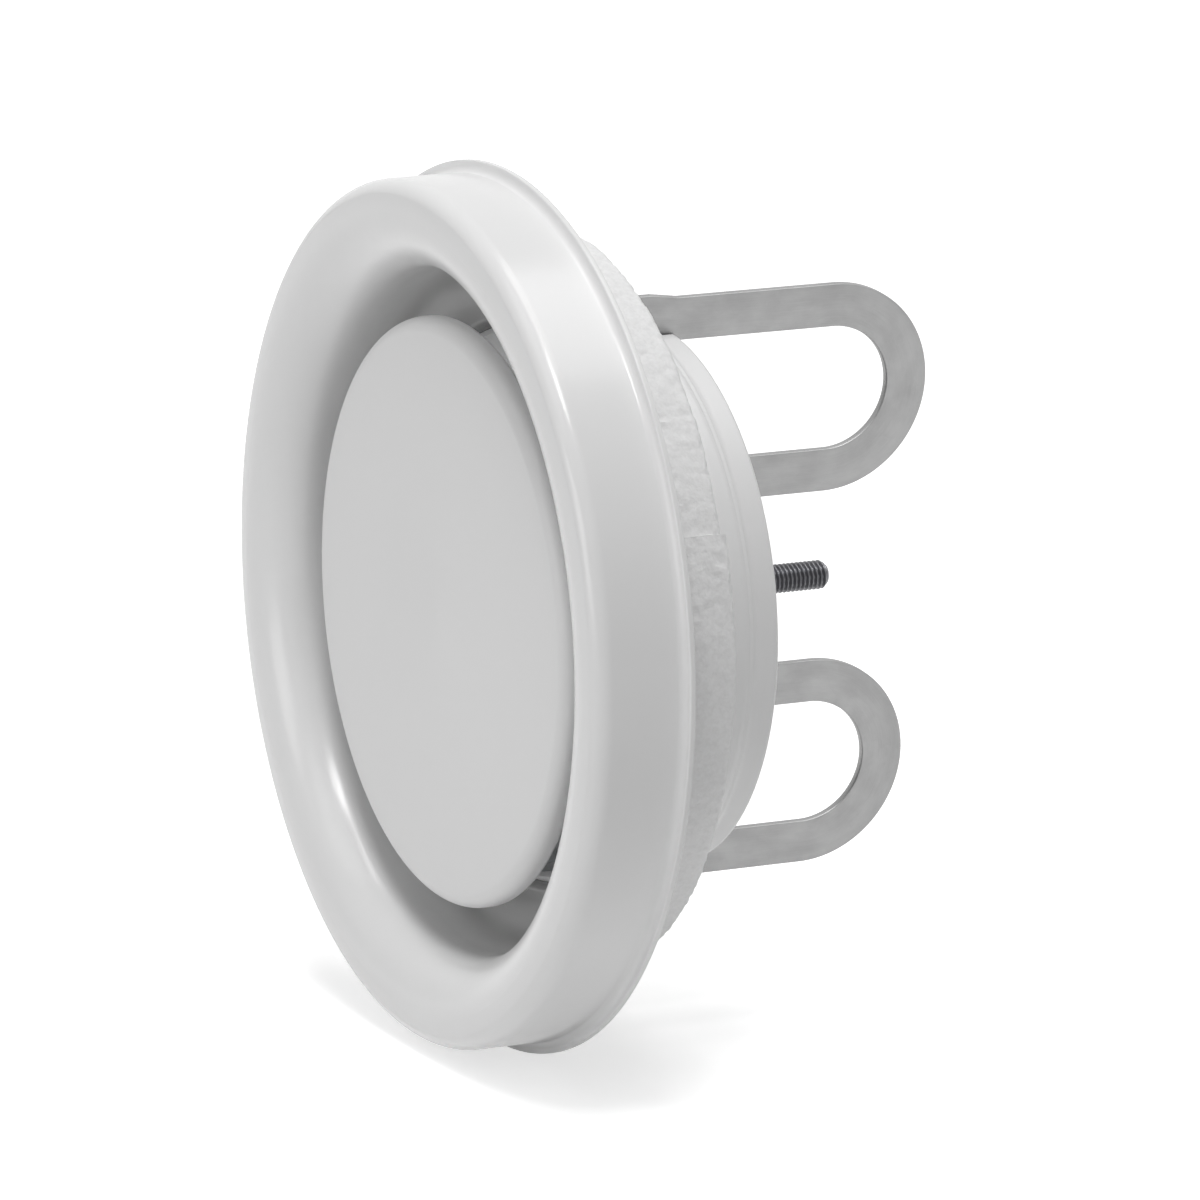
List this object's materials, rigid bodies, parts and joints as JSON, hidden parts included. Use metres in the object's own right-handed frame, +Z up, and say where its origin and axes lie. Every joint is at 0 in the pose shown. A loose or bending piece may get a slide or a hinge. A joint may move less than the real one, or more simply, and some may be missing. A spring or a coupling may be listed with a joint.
{
  "type": "supply air valve",
  "caption": "Round steel supply air valve: rounded front ring, screw-adjusted control disc, duct collar with foam seal and flat spring loops.",
  "frame": {"origin": "on the valve's axis, in the plane of the lip's rear face, which lies against the wall", "axes": "+Y along the axis into the duct, so the front faces -Y; +X to the right seen from the front; +Z up"},
  "size_m": [0.15, 0.0944, 0.15],
  "materials": {
    "white_paint": "semi-gloss",
    "collar_paint": "semi-gloss",
    "disc_paint": "satin",
    "foam": "matt",
    "zinc_sheet": "satin",
    "bush_steel": "satin",
    "spring_steel": "satin",
    "rivet_steel": "satin",
    "nut_steel": "satin",
    "spindle_steel": "oiled"
  },
  "bodies": {
    "housing": {"front_ring": "white_paint", "collar": "collar_paint", "foam_gasket": "foam", "bridge": "zinc_sheet", "threaded_bush": "bush_steel", "upper_spring_loop": "spring_steel", "lower_spring_loop": "spring_steel", "loop_rivets": "rivet_steel"},
    "screw": {"spindle": "spindle_steel"},
    "disc": {"control_disc": "disc_paint", "disc_cup": "zinc_sheet", "clamp_nuts": "nut_steel", "clamp_washer": "zinc_sheet"},
    "lock": {"lock_nut": "nut_steel"}
  },
  "joints": [
    {"name": "spindle_travel", "type": "slide", "parent": "housing", "child": "screw", "axis": [0, 1, 0], "range_m": [-0.0161, 0.0097]},
    {"name": "disc_turn", "type": "hinge", "parent": "screw", "child": "disc", "pos_m": [0, -0.008, 0], "axis": [0, 1, 0], "range_deg": [-7200, 4320]},
    {"name": "lock_nut_travel", "type": "slide", "parent": "housing", "child": "lock", "axis": [0, 1, 0], "range_m": [0, 0.01]}
  ],
  "couplings": [
    {"joint": "spindle_travel", "follows": "disc_turn", "m_per_rad": 0.00012732}
  ]
}
